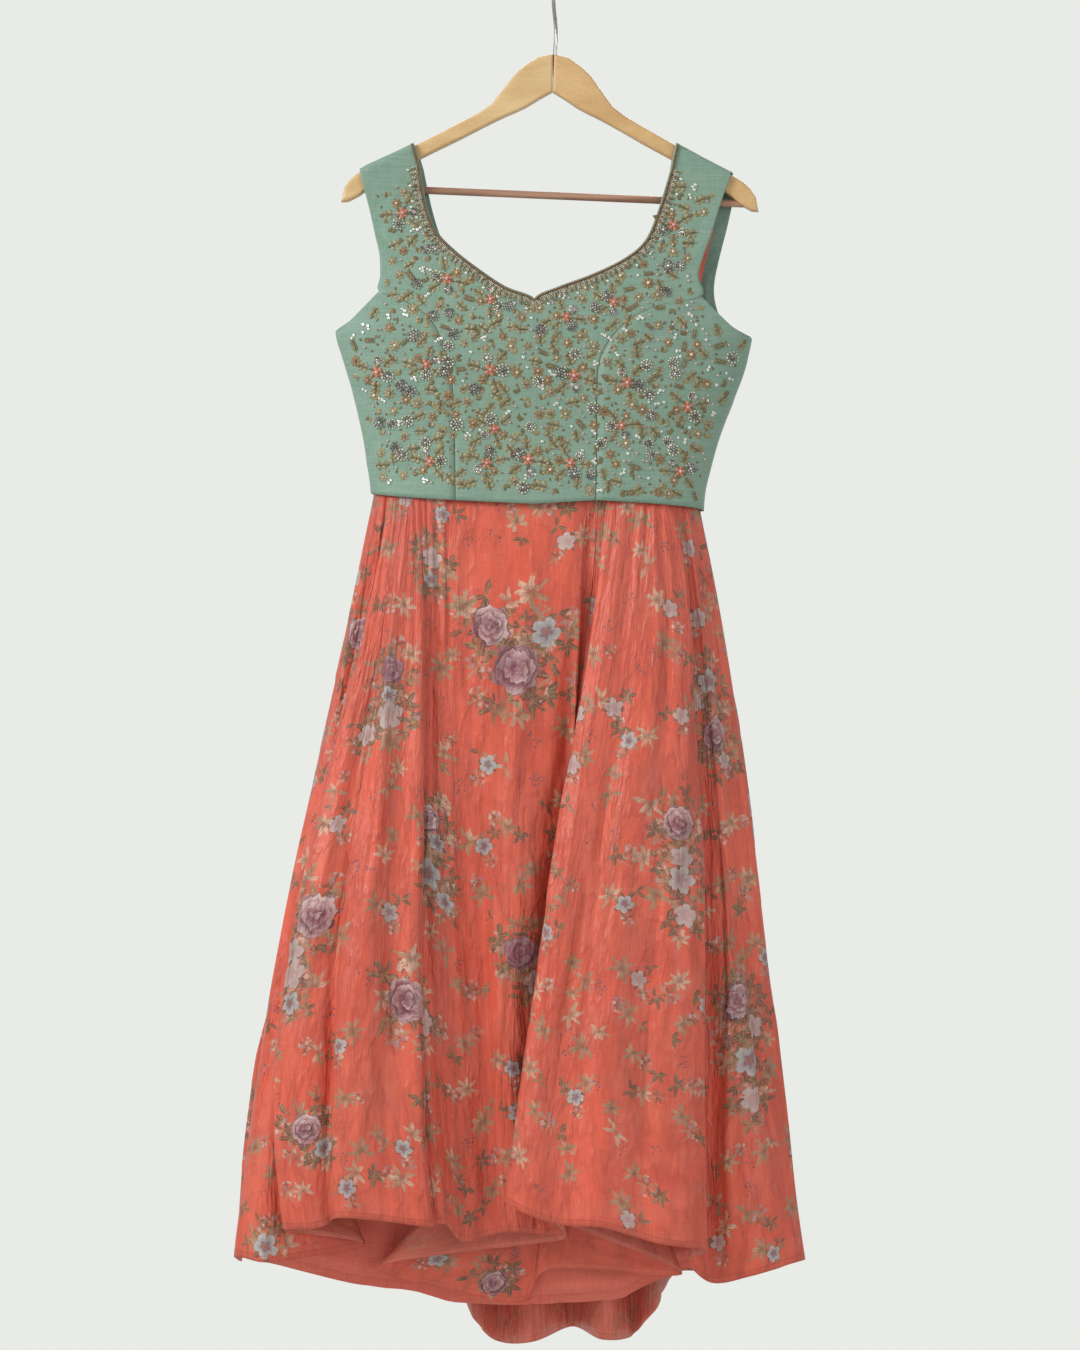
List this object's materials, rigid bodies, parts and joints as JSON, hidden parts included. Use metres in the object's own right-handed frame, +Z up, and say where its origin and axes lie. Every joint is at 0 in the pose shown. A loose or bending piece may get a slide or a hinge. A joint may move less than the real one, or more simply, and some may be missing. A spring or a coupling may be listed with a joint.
{
  "type": "lehenga set on a hanger",
  "caption": "Sleeveless embroidered silk top over a long printed gathered skirt, hung together on a wooden hanger with a wire hook.",
  "frame": {"origin": "inside top of the hook's wire, where a rail carries it", "axes": "+Z up, the set's front faces -Y, its left as seen from the front is -X"},
  "size_m": [0.606, 0.212, 1.4747],
  "materials": {
    "top_silk": "soft sheen",
    "coral_lining": "matte",
    "bronze_cord": "satin",
    "coral_silk": "soft sheen",
    "printed_silk": "soft sheen",
    "beech": "satin lacquer",
    "beech_right": "satin lacquer",
    "brown_wood": "satin",
    "wire": "polished"
  },
  "bodies": {
    "root": {"front_centre": "top_silk", "front_side_left": "top_silk", "front_side_right": "top_silk", "back": "top_silk", "back_lining": "coral_lining", "neck_piping": "bronze_cord", "waistband": "coral_silk", "skirt_front": "printed_silk", "skirt_back": "printed_silk", "skirt_lining": "coral_lining", "loop_left": "coral_silk", "loop_right": "coral_silk", "hanger_arm_left": "beech", "hanger_arm_right": "beech_right", "hanger_rod": "brown_wood", "hanger_hook": "wire"}
  },
  "joints": []
}
